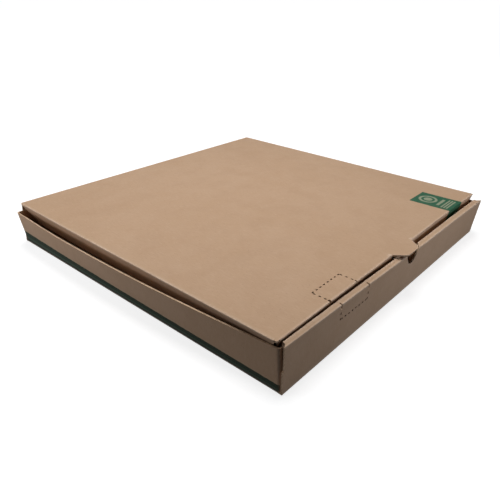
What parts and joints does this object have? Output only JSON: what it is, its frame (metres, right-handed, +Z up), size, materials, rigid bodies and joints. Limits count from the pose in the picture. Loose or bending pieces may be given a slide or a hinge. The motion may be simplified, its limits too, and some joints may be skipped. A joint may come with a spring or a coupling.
{
  "type": "pizza box",
  "caption": "Square, shallow carton folded from brown corrugated board, with a hinged lid whose flaps tuck in and a thumb tab over a notched, rolled-over front wall.",
  "frame": {"origin": "middle of the underside of the bottom panel, on the surface that the box lies on", "axes": "+Z up through the lid, the front wall with the thumb opening faces -Y, the lid's crease runs along X at the back"},
  "size_m": [0.4234, 0.4061, 0.0522],
  "materials": {
    "board": "matte brown kraft"
  },
  "bodies": {
    "tray": {"tray": "board"},
    "lid": {"lid": "board"}
  },
  "joints": [
    {"name": "lid_hinge", "type": "hinge", "parent": "tray", "child": "lid", "pos_m": [0, 0.1915, 0.0514], "axis": [-1, 0, 0], "range_deg": [0, 180]}
  ]
}
